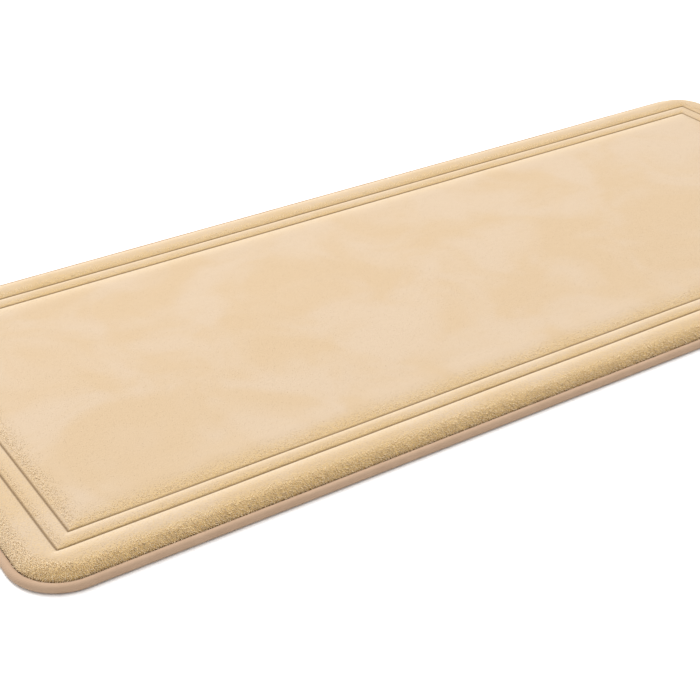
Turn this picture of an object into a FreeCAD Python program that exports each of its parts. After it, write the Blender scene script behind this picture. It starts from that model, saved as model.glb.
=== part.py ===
import FreeCAD, Part
import os

# Cushioned standing mat: a plush quilted cover over two foam layers, on a dotted
# non-slip backing, with a corded piping sewn all round its edge.
#
# Millimetres. +X runs along the length, +Y across the width, +Z up. The origin is the
# centre of the underside, on the floor. An "inset" is a distance in from the outermost
# edge of the mat, and every section is drawn as (inset, height) points.

Vector = FreeCAD.Vector
UP = Vector(0, 0, 1)

# Outline
LENGTH = 1194.0
WIDTH = 508.0

# Quilting: two stitched grooves run all round, with a narrow puffed band between them.
OUTER_GROOVE_INSET = 43.0
GROOVE_SPACING = 18.0
INNER_GROOVE_INSET = OUTER_GROOVE_INSET + GROOVE_SPACING
BAND_CREST_INSET = OUTER_GROOVE_INSET + GROOVE_SPACING / 2
FIELD_EDGE_INSET = INNER_GROOVE_INSET + GROOVE_SPACING
GROOVE_HEIGHT = 13.4
BAND_HEIGHT = 16.2
BORDER_HEIGHT = 17.5
FIELD_HEIGHT = 17.6

# The outline's corners are centred under the crest of the band, so the outer groove
# turns on a small radius and the inner groove turns square.
CORNER_RADIUS = BAND_CREST_INSET

# Anti-slip dots and backing
DOT_HEIGHT = 0.9
DOT_BASE_RADIUS = 2.1
DOT_TIP_RADIUS = 1.6
DOT_PITCH = 54.0
DOT_COLUMNS = 21
DOT_ROWS = 9
BACKING_THICKNESS = 0.9
BACKING_INSET = 8.7

# Piping: a cord wrapped in a tape whose two edges lie together as a flange.
PIPING_RADIUS = 4.25
PIPING_CORD_RADIUS = 3.5
TAPE_FLANGE_THICKNESS = 1.2

# Edge seam: the edges of backing, tape and cover lie on each other inside the mat.
SEAM_ALLOWANCE_INSET = 19.0
SEAM_INSET = 12.0
BACKING_FOLD_GAP = 0.7
ALLOWANCE_THICKNESS = 1.6
THREAD_RADIUS = 0.3
NEEDLE_THREAD_RISE = 0.45
FLANGE_LAP = 0.4

# Cover and foam
COVER_THICKNESS = 1.8
COVER_FOOT_INSET = 7.75
COVER_FOOT_HEIGHT = 7.2
COVER_WALL_INSET = 9.0
SUPPORT_FOAM_INSET = SEAM_ALLOWANCE_INSET + 0.3

# Heights of the layers, from the floor up
BACKING_BOTTOM = DOT_HEIGHT
BACKING_TOP = BACKING_BOTTOM + BACKING_THICKNESS
BACKING_EDGE_BOTTOM = BACKING_TOP + BACKING_FOLD_GAP
BACKING_EDGE_TOP = BACKING_EDGE_BOTTOM + BACKING_THICKNESS
FLANGE_TOP = BACKING_EDGE_TOP + TAPE_FLANGE_THICKNESS
COVER_EDGE_TOP = FLANGE_TOP + ALLOWANCE_THICKNESS
FOAM_JOINT_HEIGHT = COVER_FOOT_HEIGHT

# Heights of the threads' centres. A quilting line's needle thread lies just above the V
# of its groove, and its bobbin thread lies against the underside of the backing.
NEEDLE_THREAD_HEIGHT = GROOVE_HEIGHT + NEEDLE_THREAD_RISE
BOBBIN_THREAD_HEIGHT = BACKING_BOTTOM - THREAD_RADIUS
SEAM_THREAD_HEIGHT = COVER_EDGE_TOP + THREAD_RADIUS
SEAM_BOBBIN_HEIGHT = (BACKING_TOP + BACKING_EDGE_BOTTOM) / 2

# The straight runs of the outline, between its corners' centres
STRAIGHT_X = LENGTH - 2 * CORNER_RADIUS
STRAIGHT_Y = WIDTH - 2 * CORNER_RADIUS

# The cover's outer face, from the piping in to the flat field. The border rises steeply
# to a rounded shoulder, and each stretch starts and ends on a line of stitching.
BORDER_CROWN = [
    (COVER_FOOT_INSET, COVER_FOOT_HEIGHT),
    (10.3, 12.4),
    (15.6, 16.0),
    (24.5, BORDER_HEIGHT),
    (35.5, 16.6),
    (OUTER_GROOVE_INSET, GROOVE_HEIGHT),
]
BAND_OUTER_HALF = [
    (OUTER_GROOVE_INSET, GROOVE_HEIGHT),
    (46.4, 15.5),
    (BAND_CREST_INSET, BAND_HEIGHT),
]
BAND_INNER_HALF = [
    (BAND_CREST_INSET, BAND_HEIGHT),
    (57.6, 15.5),
    (INNER_GROOVE_INSET, GROOVE_HEIGHT),
]
FIELD_SHOULDER = [
    (INNER_GROOVE_INSET, GROOVE_HEIGHT),
    (65.6, 16.1),
    (71.0, 17.2),
    (FIELD_EDGE_INSET, FIELD_HEIGHT),
]


def at(inset, height):
    """Point of a section drawn at the mat's right-hand side."""
    return Vector(LENGTH / 2 - inset, -STRAIGHT_Y / 2, height)


def curve(points):
    """Smooth edge through the points of a section."""
    spline = Part.BSplineCurve()
    spline.interpolate([at(*point) for point in points])
    return spline.toShape()


def chain(points):
    """Straight edges from each point of a section to the next."""
    corners = [at(*point) for point in points]
    return [Part.makeLine(a, b) for a, b in zip(corners, corners[1:])]


def section(edges):
    """Face of a section, from the edges around it."""
    return Part.Face(Part.Wire(Part.__sortEdges__(edges)))


def lining(points):
    """Points of a crown moved in by the cover's thickness.

    A point inside the crown moves square to it, and one on a stitch line or at the
    crest moves straight down, so neighbouring linings still meet.
    """
    moved = []
    for index, (inset, height) in enumerate(points):
        if index in (0, len(points) - 1):
            moved.append((inset, height - COVER_THICKNESS))
            continue
        before = points[index - 1]
        after = points[index + 1]
        run = after[0] - before[0]
        rise = after[1] - before[1]
        slope_length = (run ** 2 + rise ** 2) ** 0.5
        moved.append((
            inset + COVER_THICKNESS * rise / slope_length,
            height - COVER_THICKNESS * run / slope_length,
        ))
    return moved


def border_lining():
    """Lining of the border's crown, which starts level with the cover's foot."""
    points = lining(BORDER_CROWN)
    points[0] = (COVER_FOOT_INSET + COVER_THICKNESS, COVER_FOOT_HEIGHT)
    return points


def half_turned(shapes):
    """The same shapes turned half round the mat's centre."""
    turned = []
    for shape in shapes:
        copy = shape.copy()
        copy.rotate(Vector(0, 0, 0), UP, 180)
        turned.append(copy)
    return turned


def joined(shapes):
    """One solid from shapes that meet."""
    whole = shapes[0].multiFuse(shapes[1:]).removeSplitter()
    return whole.Solids[0]


def ring(face):
    """Sweeps a section all round the mat: two sides and two corners, then their twins."""
    right_side = face.extrude(Vector(0, STRAIGHT_Y, 0))
    end = face.copy()
    end.translate(Vector(0, STRAIGHT_Y, 0))
    right_corner = end.revolve(Vector(STRAIGHT_X / 2, STRAIGHT_Y / 2, 0), UP, 90)
    end.rotate(Vector(STRAIGHT_X / 2, STRAIGHT_Y / 2, 0), UP, 90)
    back_side = end.extrude(Vector(-STRAIGHT_X, 0, 0))
    end.translate(Vector(-STRAIGHT_X, 0, 0))
    left_corner = end.revolve(Vector(-STRAIGHT_X / 2, STRAIGHT_Y / 2, 0), UP, 90)
    half = [right_side, right_corner, back_side, left_corner]
    return joined(half + half_turned(half))


def side_prism(half_x, half_y, depth, height):
    """Prism that keeps one mitred side of a rectangular frame."""
    corners = [
        Vector(half_x, -half_y, 0),
        Vector(half_x, half_y, 0),
        Vector(half_x - depth, half_y - depth, 0),
        Vector(half_x - depth, -half_y + depth, 0),
    ]
    outline = Part.makePolygon(corners + corners[:1])
    return Part.Face(outline).extrude(Vector(0, 0, height))


def mitred_frame(face, depth):
    """Four pieces of a frame with mitred corners, from a section that starts at the crest."""
    half_x = STRAIGHT_X / 2
    half_y = STRAIGHT_Y / 2
    height = 2 * FIELD_HEIGHT
    right_side = face.extrude(Vector(0, STRAIGHT_Y, 0))
    right = right_side.common(side_prism(half_x, half_y, depth, height))
    # A quarter turn puts the section square to X, level with the back side's length.
    back_face = face.copy()
    back_face.rotate(Vector(0, 0, 0), UP, 90)
    back_face.translate(Vector(half_x - half_y, half_y - half_x, 0))
    prism = side_prism(half_y, half_x, depth, height)
    prism.rotate(Vector(0, 0, 0), UP, 90)
    back = back_face.extrude(Vector(-STRAIGHT_X, 0, 0)).common(prism)
    return [right, back] + half_turned([right, back])


def plate(inset, bottom, top):
    """Flat sheet with the mat's rounded outline, set in by the inset."""
    radius = max(CORNER_RADIUS - inset, 0.0)
    size_x = LENGTH - 2 * inset
    size_y = WIDTH - 2 * inset
    box = Part.makeBox(size_x, size_y, top - bottom, Vector(-size_x / 2, -size_y / 2, bottom))
    if radius == 0:
        return box
    upright = [edge for edge in box.Edges if edge.BoundBox.ZLength > (top - bottom) / 2]
    return box.makeFillet(radius, upright)


def disc(inset, height, radius):
    """Round section."""
    return Part.Face(Part.Wire(Part.makeCircle(radius, at(inset, height), Vector(0, 1, 0))))


def block(inset_from, inset_to, bottom, top):
    """Rectangular section."""
    return section(chain([
        (inset_from, bottom),
        (inset_to, bottom),
        (inset_to, top),
        (inset_from, top),
        (inset_from, bottom),
    ]))


def top_cover():
    """Plush fabric, turned in under itself at the edge and quilted along two grooves."""
    border_inside = border_lining()
    band_outer_inside = lining(BAND_OUTER_HALF)
    turned_in_edge = chain([
        border_inside[0],
        (COVER_WALL_INSET + COVER_THICKNESS, COVER_EDGE_TOP),
        (SEAM_ALLOWANCE_INSET, COVER_EDGE_TOP),
        (SEAM_ALLOWANCE_INSET, FLANGE_TOP),
        (COVER_WALL_INSET, FLANGE_TOP),
        BORDER_CROWN[0],
    ])
    edge = section(
        [curve(BORDER_CROWN), curve(BAND_OUTER_HALF)]
        + [curve(border_inside), curve(band_outer_inside)]
        + chain([BAND_OUTER_HALF[-1], band_outer_inside[-1]])
        + turned_in_edge
    )
    band_inner_inside = lining(BAND_INNER_HALF)
    shoulder_inside = lining(FIELD_SHOULDER)
    inner = section(
        [curve(BAND_INNER_HALF), curve(FIELD_SHOULDER)]
        + [curve(band_inner_inside), curve(shoulder_inside)]
        + chain([BAND_INNER_HALF[0], band_inner_inside[0]])
        + chain([FIELD_SHOULDER[-1], shoulder_inside[-1]])
    )
    field = plate(FIELD_EDGE_INSET, FIELD_HEIGHT - COVER_THICKNESS, FIELD_HEIGHT)
    frame = mitred_frame(inner, FIELD_EDGE_INSET - BAND_CREST_INSET)
    return joined([ring(edge), field] + frame)


def memory_foam():
    """Soft upper foam, which fills the cover down to the joint between the foams."""
    border_inside = border_lining()
    band_outer_inside = lining(BAND_OUTER_HALF)
    edge = section(
        [curve(border_inside), curve(band_outer_inside)]
        + chain([
            band_outer_inside[-1],
            (BAND_CREST_INSET, FOAM_JOINT_HEIGHT),
            border_inside[0],
        ])
    )
    band_inner_inside = lining(BAND_INNER_HALF)
    shoulder_inside = lining(FIELD_SHOULDER)
    inner = section(
        [curve(band_inner_inside), curve(shoulder_inside)]
        + chain([
            shoulder_inside[-1],
            (FIELD_EDGE_INSET, FOAM_JOINT_HEIGHT),
            (BAND_CREST_INSET, FOAM_JOINT_HEIGHT),
            band_inner_inside[0],
        ])
    )
    field = plate(FIELD_EDGE_INSET, FOAM_JOINT_HEIGHT, FIELD_HEIGHT - COVER_THICKNESS)
    frame = mitred_frame(inner, FIELD_EDGE_INSET - BAND_CREST_INSET)
    return joined([ring(edge), field] + frame)


def support_foam():
    """Firm lower foam, cut to end at the seam allowances."""
    return plate(SUPPORT_FOAM_INSET, BACKING_TOP, FOAM_JOINT_HEIGHT)


def backing_fabric():
    """Backing cloth, whose edge folds up and in to lie under the piping's flange."""
    sheet = plate(BACKING_INSET, BACKING_BOTTOM, BACKING_TOP)
    fold_inside = BACKING_INSET + BACKING_THICKNESS
    fold = ring(block(BACKING_INSET, fold_inside, BACKING_TOP, BACKING_EDGE_BOTTOM))
    edge = ring(block(BACKING_INSET, SEAM_ALLOWANCE_INSET, BACKING_EDGE_BOTTOM, BACKING_EDGE_TOP))
    return joined([sheet, fold, edge])


def anti_slip_dots():
    """Grid of low flat-tipped dots under the backing. One stands at the mat's centre."""
    dots = []
    for column in range(DOT_COLUMNS):
        for row in range(DOT_ROWS):
            x = (column - (DOT_COLUMNS - 1) / 2) * DOT_PITCH
            y = (row - (DOT_ROWS - 1) / 2) * DOT_PITCH
            dots.append(Part.makeCone(DOT_TIP_RADIUS, DOT_BASE_RADIUS, DOT_HEIGHT, Vector(x, y, 0)))
    return Part.makeCompound(dots)


def piping_cord():
    """Filler cord of the piping, a closed loop."""
    return ring(disc(PIPING_RADIUS, PIPING_RADIUS, PIPING_CORD_RADIUS))


def piping_tape():
    """Fabric tape round the cord, with the flange that the edge seam holds."""
    wrap = disc(PIPING_RADIUS, PIPING_RADIUS, PIPING_RADIUS)
    flange_start = 2 * PIPING_RADIUS - FLANGE_LAP
    flange = block(flange_start, SEAM_ALLOWANCE_INSET, BACKING_EDGE_TOP, FLANGE_TOP)
    outside = wrap.fuse(flange).removeSplitter()
    hollow = disc(PIPING_RADIUS, PIPING_RADIUS, PIPING_CORD_RADIUS)
    return ring(outside.cut(hollow).Faces[0])


def square_thread(inset, height):
    """Thread laid round a groove with square corners: four runs, joined by a ball at each."""
    half_x = LENGTH / 2 - inset
    half_y = WIDTH / 2 - inset
    left_corner = Vector(-half_x, -half_y, height)
    right_corner = Vector(half_x, -half_y, height)
    half = [
        Part.makeCylinder(THREAD_RADIUS, 2 * half_x, left_corner, Vector(1, 0, 0)),
        Part.makeCylinder(THREAD_RADIUS, 2 * half_y, right_corner, Vector(0, 1, 0)),
        Part.makeSphere(THREAD_RADIUS, left_corner),
        Part.makeSphere(THREAD_RADIUS, right_corner),
    ]
    return joined(half + half_turned(half))


os.makedirs("parts", exist_ok=True)
NODES = {
    "top_cover": top_cover(),
    "memory_foam": memory_foam(),
    "support_foam": support_foam(),
    "backing_fabric": backing_fabric(),
    "anti_slip_dots": anti_slip_dots(),
    "piping_cord": piping_cord(),
    "piping_tape": piping_tape(),
    "outer_quilting_thread": ring(disc(OUTER_GROOVE_INSET, NEEDLE_THREAD_HEIGHT, THREAD_RADIUS)),
    "outer_quilting_bobbin_thread": ring(disc(OUTER_GROOVE_INSET, BOBBIN_THREAD_HEIGHT, THREAD_RADIUS)),
    "inner_quilting_thread": square_thread(INNER_GROOVE_INSET, NEEDLE_THREAD_HEIGHT),
    "inner_quilting_bobbin_thread": square_thread(INNER_GROOVE_INSET, BOBBIN_THREAD_HEIGHT),
    "edge_seam_thread": ring(disc(SEAM_INSET, SEAM_THREAD_HEIGHT, THREAD_RADIUS)),
    "edge_seam_bobbin_thread": ring(disc(SEAM_INSET, SEAM_BOBBIN_HEIGHT, THREAD_RADIUS)),
}
for node, shape in NODES.items():
    shape.exportStep(f"parts/{node}.step")
    box = shape.BoundBox
    print(f"{node}: {len(shape.Solids)} solid(s), valid {shape.isValid()}, "
          f"volume {shape.Volume / 1000:.2f} cm3, x {box.XMin:.2f}..{box.XMax:.2f}, "
          f"y {box.YMin:.2f}..{box.YMax:.2f}, z {box.ZMin:.2f}..{box.ZMax:.2f}")
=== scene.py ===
"""Looks of a cushioned standing mat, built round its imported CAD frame.

The mat is a plush quilted cover over two foam layers, with a corded piping sewn round its
edge and a dotted non-slip backing. Every length is in metres unless its name says mm. An
"inset" is a distance in from the outermost edge of the mat.
"""

import logging
import math
from dataclasses import dataclass, field
from enum import Enum

import bpy
import numpy as np
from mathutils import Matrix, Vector, noise

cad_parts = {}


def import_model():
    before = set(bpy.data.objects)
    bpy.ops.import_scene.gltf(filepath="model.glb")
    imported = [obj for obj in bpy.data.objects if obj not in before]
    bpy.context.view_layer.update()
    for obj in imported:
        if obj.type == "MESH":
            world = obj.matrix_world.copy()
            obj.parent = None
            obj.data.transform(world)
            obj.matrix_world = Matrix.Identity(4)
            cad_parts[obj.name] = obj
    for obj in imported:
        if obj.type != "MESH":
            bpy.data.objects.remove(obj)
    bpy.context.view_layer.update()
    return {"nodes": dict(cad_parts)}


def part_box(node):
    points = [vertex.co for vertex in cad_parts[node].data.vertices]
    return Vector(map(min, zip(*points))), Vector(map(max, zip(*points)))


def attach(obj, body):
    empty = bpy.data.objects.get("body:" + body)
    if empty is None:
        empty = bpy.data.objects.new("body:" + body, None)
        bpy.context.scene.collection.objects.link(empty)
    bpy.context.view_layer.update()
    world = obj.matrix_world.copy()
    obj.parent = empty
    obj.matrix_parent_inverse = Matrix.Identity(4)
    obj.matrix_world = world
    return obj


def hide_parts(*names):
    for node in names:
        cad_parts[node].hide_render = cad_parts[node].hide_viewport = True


LOG = logging.getLogger("mat")
MM = 0.001
BODY = "root"
WAVES_PER_UNIT = 3.2  # bands that a wave texture of scale 1 draws in one unit
ALLOWANCE_END = 19.0 * MM  # how far in the sewn edges of cover, tape and backing end
SQUARING_REACH = 26.0 * MM  # reach over which a sheet's corners turn from round to square
FOOT_LINE = 3  # the cover's edge line at its foot, outside which it is turned in


# Colour, node and mesh helpers


def linear(hex_code: str) -> tuple[float, float, float, float]:
    """Turns an sRGB hex colour into linear RGBA.

    Args:
        hex_code: Six hex digits, such as "e8cfae".

    Returns:
        Linear red, green, blue and an alpha of 1.
    """
    channels = []
    for start in (0, 2, 4):
        value = int(hex_code[start:start + 2], 16) / 255
        channels.append(value / 12.92 if value <= 0.04045 else ((value + 0.055) / 1.055) ** 2.4)
    return (channels[0], channels[1], channels[2], 1.0)


def add_node(tree: bpy.types.NodeTree, kind: str, inputs: dict | None = None, **settings) -> bpy.types.Node:
    """Adds one node with its settings and its inputs.

    Args:
        tree: The tree that gets the node.
        kind: Blender's type name of the node.
        inputs: Socket name or index, to a value, or to the socket that feeds it, or to a
            node whose first output in use feeds it.
        **settings: Properties of the node.

    Returns:
        The new node.
    """
    node = tree.nodes.new(kind)
    for name, value in settings.items():
        setattr(node, name, value)
    for key, value in (inputs or {}).items():
        named = [socket for socket in node.inputs if socket.enabled and socket.name == key]
        socket = named[0] if named else node.inputs[key]
        if isinstance(value, bpy.types.Node):
            value = next(output for output in value.outputs if output.enabled)
        if isinstance(value, bpy.types.NodeSocket):
            tree.links.new(value, socket)
        else:
            socket.default_value = value
    return node


def toned(colour: tuple[float, ...], share: float) -> tuple[float, ...]:
    """A share of a linear colour, with an alpha of 1."""
    return tuple(share * channel for channel in colour[:3]) + (1.0,)


def vectors(vertices: bpy.types.MeshVertices, name: str) -> np.ndarray:
    """Reads one vector of every vertex.

    Args:
        vertices: A mesh's vertices.
        name: What to read, such as "co" for their places, or "normal".

    Returns:
        The vectors, one row each.
    """
    values = np.zeros(len(vertices) * 3)
    vertices.foreach_get(name, values)
    return values.reshape(-1, 3)


def store(mesh: bpy.types.Mesh, layers: dict[str, np.ndarray]) -> None:
    """Stores numbers on a mesh's vertices.

    Args:
        mesh: The mesh.
        layers: Attribute name to one number for each vertex.
    """
    for name, values in layers.items():
        attribute = mesh.attributes.new(name, "FLOAT", "POINT")
        attribute.data.foreach_set("value", values)


def edge_lines(level: float, places: list[tuple[float, float]]) -> list[tuple[float, float]]:
    """Edge lines in metres, from insets and rises above a level in millimetres."""
    return [(inset * MM, level + rise * MM) for inset, rise in places]


def grid_quads(columns: int, rows: int) -> list[tuple[int, ...]]:
    """The quads of a grid whose vertices are numbered column by column, facing up."""
    corners = [i * rows + j for i in range(columns - 1) for j in range(rows - 1)]
    return [(corner, corner + rows, corner + rows + 1, corner + 1) for corner in corners]


def grid_loop(columns: int, rows: int, index: int = 0) -> list[tuple[int, int]]:
    """Places round a grid, anticlockwise from above.

    Args:
        columns: Lines of the grid along the mat.
        rows: Lines across it.
        index: How many lines in from the grid's rim.

    Returns:
        Each place as its column and row.
    """
    last_x = columns - 1 - index
    last_y = rows - 1 - index
    places = [(i, index) for i in range(index, last_x)]
    places += [(last_x, j) for j in range(index, last_y)]
    places += [(i, last_y) for i in range(last_x, index, -1)]
    places += [(index, j) for j in range(last_y, index, -1)]
    return places


# Finishes


class Finish:
    """A node material. Each finish names itself and builds its own shader."""

    title: str

    def surface(self, tree: bpy.types.NodeTree) -> bpy.types.Node:
        """Builds the finish's shader.

        Args:
            tree: The material's empty tree.

        Returns:
            The shader's node.
        """
        raise NotImplementedError

    def build(self) -> bpy.types.Material:
        """Returns a new material with the finish's shader."""
        material = bpy.data.materials.new(self.title)
        material.use_nodes = True
        tree = material.node_tree
        tree.nodes.clear()
        add_node(tree, "ShaderNodeOutputMaterial", {"Surface": self.surface(tree)})
        return material


def grained(tree: bpy.types.NodeTree, grain: bpy.types.NodeSocket, tones: tuple, relief_mm: float,
            strength: float, settings: dict) -> bpy.types.Node:
    """Builds a shader whose one pattern gives both its two tones and its relief; the darker tone in the
    hollows is painted shade.

    Args:
        tree: The material's tree.
        grain: The pattern.
        tones: Linear colours of the pattern's hollows, darkened as painted shade, and of its crests.
        relief_mm: Depth of the relief.
        strength: Strength of the relief.
        settings: The shader's own values.

    Returns:
        The shader.
    """
    # The hollows get the darker tone: painted shade in the relief.
    colour = add_node(tree, "ShaderNodeMix", {
        "Factor": grain, "A": tones[0], "B": tones[1]}, data_type="RGBA")
    bump = add_node(tree, "ShaderNodeBump", {
        "Height": grain, "Strength": strength, "Distance": relief_mm * MM})
    return add_node(tree, "ShaderNodeBsdfPrincipled", {"Base Color": colour, "Normal": bump, **settings})


@dataclass(frozen=True)
class PlushPile(Finish):
    """Microplush: knitted polyester whose short dense pile was sheared and brushed.

    The tips scatter light softly and look pale. On a slope that faces against the nap, away
    from the key lamp, the colour turns deeper and warmer: partly the pile's roots seen from
    the side, partly painted shade. Slopes that lean with the nap, towards the lamp, carry a
    painted highlight, and the stitch lines and the cover's foot a dark painted shade.
    Near the edges, where the cloth was worked, it is mottled and its relief is stronger.
    """

    title: str = "microplush_brushed_pile"
    tip_hex: str = "b6a28a"
    nap_hex: str = "b49d7f"
    # Paler colour painted on slopes that lean towards the key lamp: a painted highlight.
    painted_highlight_hex: str = "cbb9a0"
    # Deeper, warmer colour on slopes against the nap, away from the key lamp: partly the pile's roots,
    # partly painted shade.
    root_hex: str = "c6a873"
    # Dark colour of the painted shade in the creases at the stitch lines and along the foot.
    crease_shade_hex: str = "6e5638"
    patch_mm: float = 95.0
    tuft_mm: float = 1.6
    clump_mm: float = 5.0
    mottling: float = 0.34
    relief_mm: float = 0.9
    sheen: float = 0.22
    sheen_hex: str = "fff2e4"

    def surface(self, tree: bpy.types.NodeTree) -> bpy.types.Node:
        """Returns the shader of the cloth that the pile stands on."""
        place = add_node(tree, "ShaderNodeTexCoord").outputs["Object"]
        patches = add_node(tree, "ShaderNodeTexNoise", {
            "Vector": place, "Scale": 1 / (self.patch_mm * MM), "Detail": 3.0, "Distortion": 0.6})
        nap = add_node(tree, "ShaderNodeMapRange", {
            "Value": patches.outputs["Fac"], "From Min": 0.35, "From Max": 0.65},
            interpolation_type="SMOOTHSTEP")
        tuft = add_node(tree, "ShaderNodeTexNoise", {
            "Vector": place, "Scale": 1 / (self.tuft_mm * MM), "Detail": 2.0, "Roughness": 0.6})
        clump = add_node(tree, "ShaderNodeTexNoise", {
            "Vector": place, "Scale": 1 / (self.clump_mm * MM), "Detail": 2.0})
        painted_highlight, parted_and_shaded, worked, painted_crease_shade = (
            add_node(tree, "ShaderNodeAttribute", attribute_name=name).outputs["Fac"]
            for name in ("painted_highlight", "parted_and_shaded", "worked", "painted_crease_shade"))
        ragged = add_node(tree, "ShaderNodeMath", {0: tuft.outputs["Fac"], 1: 0.5}, operation="ADD")
        mottle = add_node(tree, "ShaderNodeMapRange", {
            "Value": tuft.outputs["Fac"], "From Min": 0.42, "From Max": 0.66, "To Max": self.mottling})
        roots = add_node(tree, "ShaderNodeMath", {0: worked, 1: mottle}, operation="MULTIPLY")
        # Against the nap the deeper colour is partly the pile's roots and partly painted shade; near the
        # edges it also mottles at random.
        roots_and_shade = add_node(tree, "ShaderNodeMath", {
            0: parted_and_shaded, 1: ragged, 2: roots}, operation="MULTIPLY_ADD", use_clamp=True)
        colour = linear(self.tip_hex)
        # Layered on the tip colour: random nap patches, the painted highlight, the deeper colour with its
        # painted shade, and the painted crease shade.
        for factor, hex_code in (
                (nap, self.nap_hex), (painted_highlight, self.painted_highlight_hex), (roots_and_shade, self.root_hex),
                (painted_crease_shade, self.crease_shade_hex)):
            colour = add_node(tree, "ShaderNodeMix", {
                "Factor": factor, "A": colour, "B": linear(hex_code)}, data_type="RGBA")
        height = add_node(tree, "ShaderNodeMath", {
            0: clump.outputs["Fac"], 1: 0.7, 2: tuft.outputs["Fac"]}, operation="MULTIPLY_ADD")
        rough = add_node(tree, "ShaderNodeMapRange", {"Value": worked, "To Min": 0.45, "To Max": 0.8})
        bump = add_node(tree, "ShaderNodeBump", {
            "Height": height, "Strength": rough, "Distance": self.relief_mm * MM})
        return add_node(tree, "ShaderNodeBsdfPrincipled", {
            "Base Color": colour, "Roughness": 0.95, "Specular IOR Level": 0.15,
            "Sheen Weight": self.sheen, "Sheen Roughness": 0.45, "Sheen Tint": linear(self.sheen_hex),
            "Normal": bump})


@dataclass(frozen=True)
class PileTips(Finish):
    """The same microplush, as the locks of fibre that stand on it: deeper below and pale at the
    tip, partly the fibres' own tones and partly painted shade low in the pile and painted
    light on the tips.

    A real fibre is a hundredth of a millimetre thick, so the locks that fibres cling
    together in are drawn, each as one spike.
    """

    title: str = "microplush_fibre_locks"
    lying_hex: str = "b8a388"
    root_hex: str = "ab854a"
    body_hex: str = "e6ca9a"
    # Near-white tip colour: partly the fibres' pale tips, partly painted light caught on them.
    tip_hex: str = "fdeed2"
    sheen_hex: str = "ffeccf"

    def surface(self, tree: bpy.types.NodeTree) -> bpy.types.Node:
        """Returns the locks' shader: it follows how far up a lock a point is, with painted shade at the
        base and painted light at the tip.
        """
        up, shade, standing = (
            add_node(tree, "ShaderNodeAttribute", attribute_name=name).outputs["Fac"]
            for name in ("up_lock", "lock_shade", "standing"))
        body = add_node(tree, "ShaderNodeMix", {
            "Factor": shade, "A": linear(self.root_hex), "B": linear(self.body_hex)}, data_type="RGBA")
        # Along each lock: darker at its base and paler at its tip, partly the fibres' own tones, partly
        # painted shade low in the pile and painted light on the tips.
        shaded_base_to_lit_tip = add_node(tree, "ShaderNodeMix", {
            "Factor": up, "A": body, "B": linear(self.tip_hex)}, data_type="RGBA")
        colour = add_node(tree, "ShaderNodeMix", {
            "Factor": standing, "A": linear(self.lying_hex), "B": shaded_base_to_lit_tip}, data_type="RGBA")
        return add_node(tree, "ShaderNodeBsdfPrincipled", {
            "Base Color": colour, "Roughness": 1.0, "Specular IOR Level": 0.0,
            "Sheen Weight": 0.25, "Sheen Roughness": 0.5, "Sheen Tint": linear(self.sheen_hex)})


@dataclass(frozen=True)
class BrushedKnit(Finish):
    """Brushed warp knit cut as piping tape: smooth, matt, a shade pinker than the pile."""

    title: str = "brushed_warp_knit"
    face_hex: str = "ac927a"
    shade_hex: str = "a1866e"
    loop_mm: float = 1.6

    def surface(self, tree: bpy.types.NodeTree) -> bpy.types.Node:
        """Returns the tape's shader. Its loops are drawn about twice their real size, to show."""
        along = add_node(tree, "ShaderNodeUVMap", uv_map="along_mm")
        place = add_node(tree, "ShaderNodeTexCoord").outputs["Object"]
        worn = add_node(tree, "ShaderNodeTexNoise", {"Vector": place, "Scale": 90.0, "Detail": 3.0})
        rib = add_node(tree, "ShaderNodeTexWave", {
            "Vector": along.outputs["UV"], "Scale": 1 / self.loop_mm / WAVES_PER_UNIT,
            "Distortion": 1.2, "Detail": 1.0}, bands_direction="DIAGONAL")
        colour = add_node(tree, "ShaderNodeMix", {
            "Factor": worn.outputs["Fac"], "A": linear(self.face_hex), "B": linear(self.shade_hex)},
            data_type="RGBA")
        fuzz = add_node(tree, "ShaderNodeTexNoise", {"Vector": place, "Scale": 1100.0, "Detail": 2.0})
        height = add_node(tree, "ShaderNodeMath", {
            0: rib.outputs["Fac"], 1: 0.5, 2: fuzz.outputs["Fac"]}, operation="MULTIPLY_ADD")
        bump = add_node(tree, "ShaderNodeBump", {
            "Height": height, "Strength": 0.35, "Distance": 0.25 * MM})
        return add_node(tree, "ShaderNodeBsdfPrincipled", {
            "Base Color": colour, "Roughness": 0.85, "Specular IOR Level": 0.2,
            "Sheen Weight": 0.05, "Sheen Roughness": 0.5, "Normal": bump})


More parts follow.
